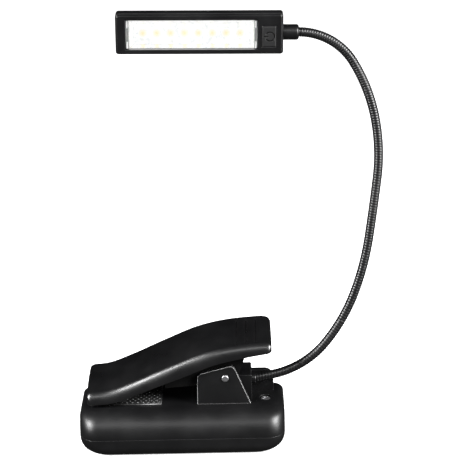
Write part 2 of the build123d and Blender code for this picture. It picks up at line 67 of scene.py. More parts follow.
# ------------------------------------------------------------------ camera
CAMERA_AT = Vector((0.0326, -0.8135, 0.4187))
CAMERA_DROP = math.radians(20.13)
CAMERA_TURN = math.radians(-0.34)
CAMERA_ROLL = math.radians(1.3)
LENS_MM = 130.3
SENSOR_MM = 36.0


def place_camera():
    """A long lens a little under a metre away, looking gently down at the lamp's lit side."""
    forward = Vector((math.sin(CAMERA_TURN) * math.cos(CAMERA_DROP),
                      math.cos(CAMERA_TURN) * math.cos(CAMERA_DROP),
                      -math.sin(CAMERA_DROP)))
    level_right = Vector((math.cos(CAMERA_TURN), -math.sin(CAMERA_TURN), 0))
    level_up = level_right.cross(forward)
    right = level_right * math.cos(CAMERA_ROLL) - level_up * math.sin(CAMERA_ROLL)
    up = level_right * math.sin(CAMERA_ROLL) + level_up * math.cos(CAMERA_ROLL)
    data = bpy.data.cameras.new("camera")
    data.lens = LENS_MM
    data.sensor_width = SENSOR_MM
    data.clip_start = 0.01
    camera = bpy.data.objects.new("camera", data)
    scene.collection.objects.link(camera)
    turn = Matrix((right, up, -forward)).transposed().to_4x4()
    camera.matrix_world = Matrix.Translation(CAMERA_AT) @ turn
    scene.camera = camera


# -------------------------------------------------------- the gooseneck line
# Metres and radians, apart from the links' lengths in millimetres and their turns and heading in degrees.
NECK_START = Vector((0.0370, 0.0055, 0.0327))
NECK_LEAN = math.radians(5.6)
NECK_FIRST_HEADING = 8.0
NECK_LINK_LENGTHS = [14.0] + [32.0] * 6 + [33.9]
NECK_LINK_TURNS = [5.2, 37.7, 18.7, 11.9, 1.6, 17.3, 20.4, 58.2]
NECK_RADIUS = 0.0025
NECK_UP = Vector((0, math.sin(NECK_LEAN), math.cos(NECK_LEAN)))
NECK_ALONG = Vector((1, 0, 0))
NECK_SIDE = NECK_ALONG.cross(NECK_UP)
NECK_LENGTH = sum(NECK_LINK_LENGTHS) * MM
LINE_STEP = 0.0001


def walk_neck():
    """Points and headings every tenth of a millimetre along the neck's chain of arcs."""
    point = NECK_START.copy()
    heading = math.radians(NECK_FIRST_HEADING)
    line = [(point.copy(), heading)]
    for length, turn in zip(NECK_LINK_LENGTHS, NECK_LINK_TURNS):
        steps = round(length * MM / LINE_STEP)
        bend = math.radians(turn) / steps
        for _ in range(steps):
            middle = heading + bend / 2
            point = point + (NECK_ALONG * math.cos(middle) + NECK_UP * math.sin(middle)) * LINE_STEP
            heading += bend
            line.append((point.copy(), heading))
    return line


neck_line = walk_neck()


def neck_at(distance):
    """(point, tangent, in-plane normal) at a distance along the neck; it runs straight past both ends."""
    index = distance / LINE_STEP
    low = min(max(int(index), 0), len(neck_line) - 1)
    point, heading = neck_line[low]
    tangent = NECK_ALONG * math.cos(heading) + NECK_UP * math.sin(heading)
    normal = NECK_UP * math.cos(heading) - NECK_ALONG * math.sin(heading)
    return point + tangent * (index - low) * LINE_STEP, tangent, normal


# ------------------------------------------------------------- head frame
HEAD_LENGTH = 0.086
SLEEVE_LENGTH = 0.008
head_end, head_inward, _ = neck_at(NECK_LENGTH)
HEAD_X = -head_inward
HEAD_Z = Vector((HEAD_X.y, -HEAD_X.x, 0)).normalized()
HEAD_Y = HEAD_Z.cross(HEAD_X)
HEAD_CENTRE = head_end + head_inward * (SLEEVE_LENGTH + HEAD_LENGTH / 2)


def in_head(x, y, z):
    """A point given in millimetres along the head, up it and towards its lit face."""
    return HEAD_CENTRE + (HEAD_X * x + HEAD_Y * y + HEAD_Z * z) * MM


# The row of LEDs: its first one and its pitch, in millimetres along the head.
LED_COUNT = 8
LED_FIRST_MM = -29.0
LED_PITCH_MM = 7.13
LED_FIRST_X = in_head(LED_FIRST_MM, 0, 0).x


# ------------------------------------------------------- node group helpers
def new_group(name, inputs, outputs):
    """An empty shader node group with named inputs (name, kind, default) and outputs (name, kind)."""
    group = bpy.data.node_groups.new(name, "ShaderNodeTree")
    for label, kind, default in inputs:
        socket = group.interface.new_socket(label, in_out="INPUT", socket_type=kind)
        socket.default_value = default
    for label, kind in outputs:
        group.interface.new_socket(label, in_out="OUTPUT", socket_type=kind)
    return group, group.nodes.new("NodeGroupInput"), group.nodes.new("NodeGroupOutput")


def node(tree, kind, **settings):
    """A new node with plain attributes set, and input defaults given as a dict called inputs."""
    made = tree.nodes.new(kind)
    inputs = settings.pop("inputs", {})
    for key, value in settings.items():
        setattr(made, key, value)
    for key, value in inputs.items():
        made.inputs[key].default_value = value
    return made


FLOAT, VECTOR = "NodeSocketFloat", "NodeSocketVector"


def make_moulded_grain():
    """Fine spark-eroded mould grain, and slow cloudy changes in sheen from handling."""
    tree, given, result = new_group(
        "moulded_grain",
        [("Grain Size", FLOAT, 0.0004), ("Cloud Size", FLOAT, 0.02)],
        [("Height", FLOAT), ("Cloud", FLOAT), ("Speck", FLOAT)])
    place = node(tree, "ShaderNodeTexCoord")
    fine = node(tree, "ShaderNodeMath", operation="DIVIDE", inputs={0: 1.0})
    slow = node(tree, "ShaderNodeMath", operation="DIVIDE", inputs={0: 1.0})
    grain = node(tree, "ShaderNodeTexNoise", inputs={"Detail": 2.0, "Roughness": 0.6})
    pits = node(tree, "ShaderNodeTexVoronoi", feature="F1")
    cloud = node(tree, "ShaderNodeTexNoise", inputs={"Detail": 3.0, "Roughness": 0.55})
    both = node(tree, "ShaderNodeMath", operation="MULTIPLY_ADD", inputs={1: 0.5})
    link = tree.links.new
    link(given.outputs["Grain Size"], fine.inputs[1])
    link(given.outputs["Cloud Size"], slow.inputs[1])
    for texture, size in ((grain, fine), (pits, fine), (cloud, slow)):
        link(place.outputs["Object"], texture.inputs["Vector"])
        link(size.outputs[0], texture.inputs["Scale"])
    link(pits.outputs["Distance"], both.inputs[0])
    link(grain.outputs["Fac"], both.inputs[2])
    link(both.outputs[0], result.inputs["Height"])
    link(cloud.outputs["Fac"], result.inputs["Cloud"])
    link(grain.outputs["Fac"], result.inputs["Speck"])
    return tree


def make_soft_edge():
    """A mask that is bright along sharp edges, and the normal rounded over them."""
    tree, given, result = new_group(
        "soft_edge", [("Radius", FLOAT, 0.0003)], [("Edge", FLOAT), ("Normal", VECTOR)])
    rounded = node(tree, "ShaderNodeBevel", samples=6)
    plain = node(tree, "ShaderNodeNewGeometry")
    dot = node(tree, "ShaderNodeVectorMath", operation="DOT_PRODUCT")
    spread = node(tree, "ShaderNodeMapRange", inputs={"From Min": 1.0, "From Max": 0.82})
    link = tree.links.new
    link(given.outputs["Radius"], rounded.inputs["Radius"])
    link(rounded.outputs["Normal"], dot.inputs[0])
    link(plain.outputs["Normal"], dot.inputs[1])
    link(dot.outputs["Value"], spread.inputs["Value"])
    link(spread.outputs["Result"], result.inputs["Edge"])
    link(rounded.outputs["Normal"], result.inputs["Normal"])
    return tree


moulded_grain = make_moulded_grain()
soft_edge = make_soft_edge()


def start_material(name):
    """A new node material with its Principled shader: (material, node tree, shader)."""
    material = bpy.data.materials.new(name)
    material.use_nodes = True
    tree = material.node_tree
    return material, tree, tree.nodes["Principled BSDF"]


def group_node(tree, group, **values):
    """A placed node group; each value's name is its socket's, with underlines for spaces."""
    placed = tree.nodes.new("ShaderNodeGroup")
    placed.node_tree = group
    for label, value in values.items():
        placed.inputs[label.replace("_", " ")].default_value = value
    return placed


def moulded_plastic(name, dark, light, edge, rough, grain_size=0.00045, grain_depth=0.00002,
                    edge_radius=0.0003, specular=0.5):
    """Moulded plastic: grain, cloudy sheen from handling, and its sharp edges lightened as a painted
    highlight.
    """
    material, tree, shader = start_material(name)
    link = tree.links.new
    grain = group_node(tree, moulded_grain, Grain_Size=grain_size, Cloud_Size=0.018)
    edges = group_node(tree, soft_edge, Radius=edge_radius)
    tone = node(tree, "ShaderNodeMix", data_type="RGBA", inputs={"A": (*dark, 1), "B": (*light, 1)})
    # painted highlight: the edge colour lightens sharp edges where light would catch them
    edge_highlight = node(tree, "ShaderNodeMix", data_type="RGBA", inputs={"B": (*edge, 1)})
    sheen = node(tree, "ShaderNodeMapRange",
                 inputs={"From Min": 0.3, "From Max": 0.7, "To Min": rough - 0.05, "To Max": rough + 0.06})
    bump = node(tree, "ShaderNodeBump", inputs={"Strength": 0.5, "Distance": grain_depth})
    link(grain.outputs["Cloud"], tone.inputs["Factor"])
    link(tone.outputs["Result"], edge_highlight.inputs["A"])
    link(edges.outputs["Edge"], edge_highlight.inputs["Factor"])
    link(edge_highlight.outputs["Result"], shader.inputs["Base Color"])
    link(grain.outputs["Cloud"], sheen.inputs["Value"])
    link(sheen.outputs["Result"], shader.inputs["Roughness"])
    link(grain.outputs["Height"], bump.inputs["Height"])
    link(edges.outputs["Normal"], bump.inputs["Normal"])
    link(bump.outputs["Normal"], shader.inputs["Normal"])
    shader.inputs["Specular IOR Level"].default_value = specular
    return material


def bare_metal(name, dark, light, rough, scratch_size=0.0006):
    """Metal with fine drawn lines and a varying polish."""
    material, tree, shader = start_material(name)
    link = tree.links.new
    grain = group_node(tree, moulded_grain, Grain_Size=scratch_size, Cloud_Size=0.006)
    edges = group_node(tree, soft_edge, Radius=0.00015)
    tone = node(tree, "ShaderNodeMix", data_type="RGBA", inputs={"A": (*dark, 1), "B": (*light, 1)})
    polish = node(tree, "ShaderNodeMapRange",
                  inputs={"From Min": 0.3, "From Max": 0.7, "To Min": rough - 0.06, "To Max": rough + 0.08})
    bump = node(tree, "ShaderNodeBump", inputs={"Strength": 0.3, "Distance": 0.00001})
    link(grain.outputs["Cloud"], tone.inputs["Factor"])
    link(tone.outputs["Result"], shader.inputs["Base Color"])
    link(grain.outputs["Speck"], polish.inputs["Value"])
    link(polish.outputs["Result"], shader.inputs["Roughness"])
    link(grain.outputs["Height"], bump.inputs["Height"])
    link(edges.outputs["Normal"], bump.inputs["Normal"])
    link(bump.outputs["Normal"], shader.inputs["Normal"])
    shader.inputs["Metallic"].default_value = 1.0
    return material


def clear_plastic(name):
    """Clear styrene with a faint moulding ripple."""
    material, tree, shader = start_material(name)
    link = tree.links.new
    grain = group_node(tree, moulded_grain, Grain_Size=0.004, Cloud_Size=0.02)
    tint = node(tree, "ShaderNodeMix", data_type="RGBA",
                inputs={"A": (0.97, 0.98, 0.98, 1), "B": (1.0, 1.0, 0.99, 1)})
    polish = node(tree, "ShaderNodeMapRange",
                  inputs={"From Min": 0.3, "From Max": 0.7, "To Min": 0.02, "To Max": 0.06})
    link(grain.outputs["Cloud"], tint.inputs["Factor"])
    link(tint.outputs["Result"], shader.inputs["Base Color"])
    link(grain.outputs["Speck"], polish.inputs["Value"])
    link(polish.outputs["Result"], shader.inputs["Roughness"])
    shader.inputs["Transmission Weight"].default_value = 1.0
    shader.inputs["IOR"].default_value = 1.35
    return material


def make_led_bloom():
    """A mask that peaks over each lamp of the row, where a painted pool of its light falls on the tray around
    it.
    """
    tree, given, result = new_group(
        "led_bloom", [("First", FLOAT, 0.0), ("Pitch", FLOAT, LED_PITCH_MM * MM), ("Sharpness", FLOAT, 4.0)],
        [("Bloom", FLOAT)])
    place = node(tree, "ShaderNodeTexCoord")
    split = node(tree, "ShaderNodeSeparateXYZ")
    shift = node(tree, "ShaderNodeMath", operation="SUBTRACT")
    turns = node(tree, "ShaderNodeMath", operation="DIVIDE")
    angle = node(tree, "ShaderNodeMath", operation="MULTIPLY", inputs={1: 2 * math.pi})
    wave = node(tree, "ShaderNodeMath", operation="COSINE")
    lifted = node(tree, "ShaderNodeMath", operation="MULTIPLY_ADD", inputs={1: 0.5, 2: 0.5})
    peaked = node(tree, "ShaderNodeMath", operation="POWER")
    link = tree.links.new
    link(place.outputs["Object"], split.inputs[0])
    link(split.outputs["X"], shift.inputs[0])
    link(given.outputs["First"], shift.inputs[1])
    link(shift.outputs[0], turns.inputs[0])
    link(given.outputs["Pitch"], turns.inputs[1])
    link(turns.outputs[0], angle.inputs[0])
    link(angle.outputs[0], wave.inputs[0])
    link(wave.outputs[0], lifted.inputs[0])
    link(lifted.outputs[0], peaked.inputs[0])
    link(given.outputs["Sharpness"], peaked.inputs[1])
    link(peaked.outputs[0], result.inputs["Bloom"])
    return tree


led_bloom = make_led_bloom()


def tray_white(name, bloom_strength):
    """White styrene with a painted glow standing in for the lamps' light on it: painted shade grey in its
    corners, mottled, a painted warm pool of light by each lamp.
    """
    material, tree, shader = start_material(name)
    link = tree.links.new
    grain = group_node(tree, moulded_grain, Grain_Size=0.0011, Cloud_Size=0.0022)
    edges = group_node(tree, soft_edge, Radius=0.00035)
    bloom = group_node(tree, led_bloom, First=LED_FIRST_X, Sharpness=3.0)
    tone = node(tree, "ShaderNodeMix", data_type="RGBA",
                inputs={"A": (0.86, 0.87, 0.88, 1), "B": (1.0, 1.0, 1.0, 1)})
    mottle = node(tree, "ShaderNodeMapRange", inputs={"From Min": 0.34, "From Max": 0.5})
    # painted shade: grey mixed in along the tray's corners and creases
    corner = node(tree, "ShaderNodeMix", data_type="RGBA", inputs={"B": (0.42, 0.42, 0.43, 1)})
    amount = node(tree, "ShaderNodeMath", operation="MULTIPLY", inputs={1: bloom_strength})
    # painted light: a warm pool of each lamp's light on the tray
    warm = node(tree, "ShaderNodeMix", data_type="RGBA", inputs={"B": (1.0, 0.86, 0.50, 1)})
    link(grain.outputs["Cloud"], mottle.inputs["Value"])
    link(mottle.outputs["Result"], tone.inputs["Factor"])
    link(tone.outputs["Result"], warm.inputs["A"])
    link(bloom.outputs["Bloom"], amount.inputs[0])
    link(amount.outputs[0], warm.inputs["Factor"])
    link(warm.outputs["Result"], corner.inputs["A"])
    link(edges.outputs["Edge"], corner.inputs["Factor"])
    shade = node(tree, "ShaderNodeMix", data_type="RGBA", blend_type="MULTIPLY",
                 inputs={"Factor": 1.0, "B": (0.12, 0.12, 0.12, 1)})
    link(corner.outputs["Result"], shade.inputs["A"])
    link(shade.outputs["Result"], shader.inputs["Base Color"])
    # painted glow: the same colour is emitted, though the tray is no lamp
    link(corner.outputs["Result"], shader.inputs["Emission Color"])
    shader.inputs["Emission Strength"].default_value = 0.98
    shader.inputs["Roughness"].default_value = 0.5
    shader.inputs["Specular IOR Level"].default_value = 0.1
    return material


def led_dome_finish(name):
    """Yellow phosphor under a clear dome: warm in the middle, fading into the white round it."""
    material, tree, shader = start_material(name)
    link = tree.links.new
    grain = group_node(tree, moulded_grain, Grain_Size=0.0005, Cloud_Size=0.004)
    middle = node(tree, "ShaderNodeAttribute", attribute_name="middle")
    deep = node(tree, "ShaderNodeMix", data_type="RGBA",
                inputs={"A": (1.0, 0.84, 0.48, 1), "B": (1.0, 0.88, 0.58, 1)})
    tint = node(tree, "ShaderNodeMix", data_type="RGBA", inputs={"A": (0.98, 0.98, 0.98, 1)})
    shade = node(tree, "ShaderNodeMix", data_type="RGBA", blend_type="MULTIPLY",
                 inputs={"Factor": 1.0, "B": (0.1, 0.1, 0.1, 1)})
    link(grain.outputs["Speck"], deep.inputs["Factor"])
    link(middle.outputs["Fac"], tint.inputs["Factor"])
    link(deep.outputs["Result"], tint.inputs["B"])
    link(tint.outputs["Result"], shade.inputs["A"])
    link(shade.outputs["Result"], shader.inputs["Base Color"])
    link(tint.outputs["Result"], shader.inputs["Emission Color"])
    shader.inputs["Emission Strength"].default_value = 0.98
    shader.inputs["Roughness"].default_value = 0.5
    shader.inputs["Specular IOR Level"].default_value = 0.1
    return material


# ------------------------------------------------------------- the finishes
# In each moulded plastic below, the third colour is a painted highlight along sharp edges.
MOULDED_BLACK = (0.0018, 0.0018, 0.0020), (0.0034, 0.0034, 0.0037)
SATIN_BLACK = moulded_plastic("satin_black_plastic", *MOULDED_BLACK,
                              (0.03, 0.03, 0.032), 0.40)
BOX_BLACK = moulded_plastic("box_black_plastic", *MOULDED_BLACK,
                            (0.02, 0.02, 0.021), 0.40)
LEVER_BLACK = moulded_plastic("lever_black_plastic", *MOULDED_BLACK,
                              (0.02, 0.02, 0.021), 0.31, specular=0.8)
# painted shade: a dull, low-sheen copy of the black plastic, with a dim edge, for the webs in the shade under
# the lever
WEB_SHADED_BLACK = moulded_plastic("web_shaded_black_plastic", (0.002, 0.002, 0.002), (0.003, 0.003, 0.003),
                            (0.006, 0.006, 0.006), 0.6, specular=0.15)
BEZEL_BLACK = moulded_plastic("bezel_black_plastic", *MOULDED_BLACK,
                              (0.04, 0.04, 0.042), 0.34)
BUTTON_BLACK = moulded_plastic("button_grey_black", (0.0055, 0.0055, 0.0057), (0.0085, 0.0085, 0.0088),
                               (0.06, 0.06, 0.06), 0.45)
# painted highlight: the near-white edge colour draws the light line round the bracket ear's edges
EAR_BLACK = moulded_plastic("ear_black_plastic", *MOULDED_BLACK,
                            (0.7, 0.7, 0.7), 0.42, edge_radius=0.0004)
SYMBOL_DARK = moulded_plastic("symbol_dark_fill", (0.0005, 0.0005, 0.0005), (0.001, 0.001, 0.001),
                              (0.001, 0.001, 0.001), 0.7, edge_radius=0.00005, specular=0.05)
PAD_RUBBER = moulded_plastic("jaw_pad_rubber", (0.010, 0.010, 0.010), (0.018, 0.018, 0.018),
                             (0.03, 0.03, 0.03), 0.30, grain_size=0.0003, grain_depth=0.000006,
                             edge_radius=0.0001, specular=1.0)
BOARD_GREEN = moulded_plastic("board_green_mask", (0.01, 0.10, 0.04), (0.02, 0.14, 0.06),
                              (0.3, 0.3, 0.2), 0.35)
LEAD_RED = moulded_plastic("lead_red_sleeving", (0.35, 0.02, 0.02), (0.45, 0.04, 0.03),
                           (0.45, 0.05, 0.05), 0.5)
CELL_WRAP = moulded_plastic("cell_blue_wrap", (0.03, 0.07, 0.25), (0.05, 0.10, 0.32),
                            (0.3, 0.3, 0.35), 0.3)
NECK_BLACK = moulded_plastic("neck_black_coat", (0.003, 0.003, 0.0033), (0.005, 0.005, 0.0053),
                             (0.010, 0.010, 0.0105), 0.36, grain_size=0.0003, grain_depth=0.000004,
                             edge_radius=0.00008, specular=0.55)
BRIGHT_STEEL = bare_metal("bright_steel", (0.42, 0.42, 0.43), (0.55, 0.55, 0.56), 0.42)
LENS_CLEAR = clear_plastic("lens_clear_plastic")
LED_DOME = led_dome_finish("led_yellow_dome")
# The tray's finishes glow as painted light; the low wall carries a stronger painted warm reflection of the
# lamps.
TRAY_FLOOR = tray_white("tray_white_floor", 0.07)
TRAY_LOW_WALL = tray_white("tray_white_low_wall", 0.55)
LENS_RIB = moulded_plastic("lens_rib_clear_grey", (0.30, 0.30, 0.30), (0.42, 0.42, 0.42),
                           (0.75, 0.75, 0.75), 0.2, grain_depth=0.000008, edge_radius=0.00015)
# painted highlight: the catches' near-white stands in for light caught in clear plastic
LENS_CLIP = moulded_plastic("lens_clip_painted_highlight", (0.75, 0.75, 0.75), (0.9, 0.9, 0.9),
                            (1.0, 1.0, 1.0), 0.2, grain_depth=0.000005, edge_radius=0.00015)

NODE_FINISH = {
    SATIN_BLACK: ["base_upper_shell", "base_lower_shell", "battery_door", "neck_anchor_block",
                  "head_back_shell", "neck_sleeve", "board_posts"],
    EAR_BLACK: ["clip_bracket"],
    LEVER_BLACK: ["lever"],
    BEZEL_BLACK: ["head_bezel"],
    BUTTON_BLACK: ["power_button", "button_switch"],
    PAD_RUBBER: ["jaw_pad", "lever_pad"],
    BOARD_GREEN: ["led_board"],
    LEAD_RED: ["base_leads", "head_leads"],
    CELL_WRAP: ["battery_cell_1", "battery_cell_2", "battery_cell_3"],
    NECK_BLACK: ["neck_foot", "neck_end_ring"] + [f"neck_link_{n}" for n in range(1, 8)],
    BRIGHT_STEEL: ["pivot_pin", "pin_clip", "torsion_spring", "case_screw_top", "case_screws_bottom",
                   "battery_springs", "battery_contacts", "neck_retainer"],
    LENS_CLEAR: ["lens"],
    LED_DOME: ["leds"],
    TRAY_FLOOR: ["reflector_tray"],
}


def finish_cad_nodes():
    """Gives every CAD node its finish."""
    for material, names in NODE_FINISH.items():
        for name in names:
            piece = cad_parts[name]
            piece.data.materials.clear()
            piece.data.materials.append(material)


# ------------------------------------------------------------ mesh helpers
def mesh_piece(name, points, faces, material, smooth=True):
    """A mesh object with one finish, its points in metres."""
    data = bpy.data.meshes.new(name)
    data.from_pydata([tuple(p) for p in points], [], faces)
    data.validate()
    data.polygons.foreach_set("use_smooth", [smooth] * len(data.polygons))
    data.materials.append(material)
    data.update()
    piece = bpy.data.objects.new(name, data)
    scene.collection.objects.link(piece)
    return piece


def ring_quads(rings, around, first=0):
    """Quads between consecutive rings of points, from a given first point on."""
    faces = []
    for r in range(rings - 1):
        for k in range(around):
            a = first + r * around + k
            b = first + r * around + (k + 1) % around
            faces.append((a, b, b + around, a + around))
    return faces


def ring_faces(rings, around):
    """Quads between consecutive rings of points, with a cap at each end."""
    last = (rings - 1) * around
    caps = [tuple(reversed(range(around))), tuple(range(last, last + around))]
    return ring_quads(rings, around) + caps


def dome(points, faces, place, radius_x, radius_y, height, around, rings):
    """Adds a low dome to the lists; place turns an offset from its foot's middle into a point."""
    first = len(points)
    for r in range(rings):
        lift = math.sin(math.pi / 2 * r / rings)
        draw = math.cos(math.pi / 2 * r / rings)
        for k in range(around):
            angle = 2 * math.pi * k / around
            across, up = radius_x * draw * math.cos(angle), radius_y * draw * math.sin(angle)
            points.append(place(across, up, height * lift))
    points.append(place(0, 0, height))
    faces += ring_quads(rings, around, first)
    top = first + (rings - 1) * around
    for k in range(around):
        faces.append((top + k, top + (k + 1) % around, len(points) - 1))
    faces.append(tuple(reversed(range(first, first + around))))


# ------------------------------------------------------ the wound gooseneck
WIRE_PITCH_FOOT = 0.00160
WIRE_PITCH_HEAD = 0.00128
WIRE_BEAD = 0.00034
BEAD_ROUNDNESS = 0.96
AROUND_NECK = 24
RINGS_PER_TURN = 7


def turns_at(distance):
    """How many turns of wire are wound up to a distance: the turns close up towards the head."""
    change = (WIRE_PITCH_HEAD - WIRE_PITCH_FOOT) / NECK_LENGTH
    return math.log((WIRE_PITCH_FOOT + change * distance) / WIRE_PITCH_FOOT) / change


def wound_tube(name, start, end):
    """A stretch of the wound tube: round wire beads on a helix, closed at both ends."""
    rings = max(4, round((turns_at(end) - turns_at(start)) * RINGS_PER_TURN))
    points = []
    for r in range(rings + 1):
        distance = start + (end - start) * r / rings
        centre, _, normal = neck_at(distance)
        for k in range(AROUND_NECK):
            angle = 2 * math.pi * k / AROUND_NECK
            phase = (turns_at(distance) + k / AROUND_NECK) % 1.0
            across = 2 * phase - 1
            bead = math.sqrt(max(0.0, 1 - across * across * BEAD_ROUNDNESS))
            radius = NECK_RADIUS - WIRE_BEAD * (1 - bead)
            points.append(centre + (normal * math.cos(angle) + NECK_SIDE * math.sin(angle)) * radius)
    return mesh_piece(name, points, ring_faces(rings + 1, AROUND_NECK), NECK_BLACK)


TUBE_FOOT = 0.0005
TUBE_PAST_END = 0.001


def make_gooseneck():
    """The wound tube in stretches that each span one joint and meet in the middle of a link."""
    pivots = []
    run = 0.0
    for length in NECK_LINK_LENGTHS[:-1]:
        run += length * MM
        pivots.append(run)
    cuts = [TUBE_FOOT] + [(a + b) / 2 for a, b in zip(pivots, pivots[1:])] + [NECK_LENGTH + TUBE_PAST_END]
    for n, pivot in enumerate(pivots):
        stretch = wound_tube(f"wound_tube_{n + 1}", cuts[n], cuts[n + 1])
        replaced = ["neck_foot", "neck_link_1"] if n == 0 else [f"neck_link_{n + 1}"]
        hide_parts(*replaced)
        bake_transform(stretch)


# ---------------------------------------------------------- the lamp head
def head_block(name, x0, x1, y0, y1, z0, z1, material, bevel=0.15):
    """A block in head millimetres with a small bevel round its front face."""
    points = []
    for inset, z in ((0.0, z0), (0.0, z1 - bevel), (bevel, z1)):
        for x, y in ((x0 + inset, y0 + inset), (x1 - inset, y0 + inset), (x1 - inset, y1 - inset),
                     (x0 + inset, y1 - inset)):
            points.append(in_head(x, y, z))
    return mesh_piece(name, points, ring_faces(3, 4), material, smooth=False)


# The tray in head millimetres: its outer sides, its floor's sides, its depths and the width of its lip.
TRAY_LEFT, TRAY_RIGHT, TRAY_LOW, TRAY_HIGH = -36.1, 28.2, -7.6, 7.0
FLOOR_LEFT, FLOOR_RIGHT, FLOOR_LOW, FLOOR_HIGH = -33.9, 26.0, -6.0, 5.2
TRAY_BACK, TRAY_FLOOR_Z, TRAY_RIM = 0.05, 0.65, 3.15
TRAY_LIP_X, TRAY_LIP_Y = 0.5, 0.4


def make_tray():
    """The white tray: a flat floor with four walls sloping up to its rim, the low wall in its own finish with
    a stronger painted warm reflection.
    """
    rims = [(TRAY_LEFT, TRAY_RIGHT, TRAY_LOW, TRAY_HIGH, TRAY_BACK),
            (TRAY_LEFT, TRAY_RIGHT, TRAY_LOW, TRAY_HIGH, TRAY_RIM),
            (TRAY_LEFT + TRAY_LIP_X, TRAY_RIGHT - TRAY_LIP_X, TRAY_LOW + TRAY_LIP_Y, TRAY_HIGH - TRAY_LIP_Y,
             TRAY_RIM),
            (FLOOR_LEFT, FLOOR_RIGHT, FLOOR_LOW, FLOOR_HIGH, TRAY_FLOOR_Z)]
    low_wall = [8, 9, 12, 13]
    points = []
    for x0, x1, y0, y1, z in rims:
        points += [in_head(x0, y0, z), in_head(x1, y0, z), in_head(x1, y1, z), in_head(x0, y1, z)]
    tray = mesh_piece("tray", points, ring_faces(4, 4), TRAY_FLOOR, smooth=False)
    tray.data.materials.append(TRAY_LOW_WALL)
    for face in tray.data.polygons:
        if sorted(face.vertices) == low_wall:
            face.material_index = 1
    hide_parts("reflector_tray")
    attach(tray, "head")


def make_led_domes():
    """Eight low round domes standing on the tray's floor."""
    around, rings = 24, 12
    radius, height, foot = 2.5, 0.75, 0.66
    warm_fade = 1.1
    points, faces, middles = [], [], []
    for n in range(LED_COUNT):
        x = LED_FIRST_MM + n * LED_PITCH_MM
        dome(points, faces, lambda u, v, w: in_head(x + u, v, foot + w),
             radius, radius, height, around, rings)
        for r in range(rings):
            middles += [max(0.0, 1 - math.cos(math.pi / 2 * r / rings)) ** warm_fade] * around
        middles.append(1.0)
    domes = mesh_piece("led_domes", points, faces, LED_DOME)
    domes.data.attributes.new("middle", "FLOAT", "POINT").data.foreach_set("value", middles)
    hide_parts("leds")
    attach(domes, "head")


def make_lens_ribs():
    """The lens's clear end ribs with the catches that hold it in the window, painted near white as a painted
    highlight of light caught in the clear plastic.
    """
    rib_low, rib_high, rib_back, rib_front = -7.5, 7.0, 0.3, 3.2
    catch_back, catch_front, catch_inset = 3.25, 4.45, 0.3
    for side, x0, x1 in (("left", -37.75, -36.25), ("right", 28.3, 29.8)):
        rib = head_block(f"lens_rib_{side}", x0, x1, rib_low, rib_high, rib_back, rib_front, LENS_RIB)
        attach(rib, "head")
        for part, y0, y1 in (("high", 3.2, 6.8), ("low", -7.4, -3.9)):
            catch = head_block(f"lens_catch_{side}_{part}", x0 + catch_inset, x1 - catch_inset, y0, y1,
                               catch_back, catch_front, LENS_CLIP)
            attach(catch, "head")


def make_power_mark():
    """The dark on and off mark in the button: an open ring, and a bar across its gap, turned to the left."""
    centre_x, centre_y = 36.15, -1.1
    inner, outer = 2.0, 2.62
    low, high = 5.1, 5.41
    opening = math.radians(38)
    bar_from, bar_to, bar_half = -3.15, -0.85, 0.32
    steps = 40
    points = []
    for k in range(steps + 1):
        angle = math.pi + opening + (2 * math.pi - 2 * opening) * k / steps
        for radius, z in ((inner, low), (outer, low), (outer, high), (inner, high)):
            x, y = centre_x + radius * math.cos(angle), centre_y + radius * math.sin(angle)
            points.append(in_head(x, y, z))
    ring = mesh_piece("power_mark_ring", points, ring_faces(steps + 1, 4), SYMBOL_DARK, smooth=False)
    bar = head_block("power_mark_bar", centre_x + bar_from, centre_x + bar_to, centre_y - bar_half,
                     centre_y + bar_half, low, high, SYMBOL_DARK, bevel=0.03)
    for piece in (ring, bar):
        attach(piece, "button")


# -------------------------------------------------------------------- lever
# Millimetres. The outlines are (X, Z), as seen from the front; a share is a part of the lever's height.
CLIP_Y = 5.5
LEVER_HALF = 16.2
LEVER_WALL = 1.8
FRONT_ROUND = 3.6
FRONT_LOW = 0.05
FRONT_SHARE = 0.50
FRONT_SLOPE = 24.0
BACK_ROUND = 1.8
LEVER_END_DRAW = 3.2
LEVER_RIM_WALL = 1.6
LEVER_END_WALL = 2.4
LEVER_ROOF = 3.2
ROOF_FADE = 3.0
LEAST_ROOM = 0.05
ROOF_BACK_INSET, ROOF_FRONT_Y = 2.5, 1.6
FRONT_ROOF_SHARE, FRONT_ROOF_DOWN, FRONT_ROOF_INSET = 0.3, 0.4, 3.0
LEFT_ROUND_LONG, LEFT_ROUND_DOWN = 3.2, 3.2
LEFT_SIDE_DOWN = 6.0
RIGHT_ROUND_LONG, RIGHT_ROUND_DOWN = 5.2, 4.6
BACK_SHARE = 0.84
LEVER_TOP = [(-50.9, 36.3), (-39.8, 37.4), (-26.4, 42.5), (-8.7, 50.6), (8.9, 58.0), (26.3, 61.9),
             (48.5, 63.6)]
LEVER_BOTTOM = [(-50.9, 25.95), (-40.0, 26.7), (-31.2, 28.8), (-16.6, 34.7), (0.5, 41.3), (17.5, 48.1),
                (34.4, 52.1), (48.5, 54.5)]
GROOVE_X = (30.0, 35.1, 40.3)
GROOVE_HALF = 11.8
GROOVE_DEPTH = 1.1
GROOVE_WIDTH = 0.75
GROOVE_RUN_OUT = 0.7
GROOVE_SHIFT_Y = 0.5
GROOVE_LEAST_HEIGHT = 7.0
WEB_OUTLINE = [(-9.0, 32.6), (27.0, 35.4), (31.0, 41.0), (34.6, 51.0), (35.6, 57.5), (26.0, 57.0),
               (8.9, 53.0), (-9.0, 45.6)]
WEB_INNER, WEB_OUTER = 8.8, 10.1


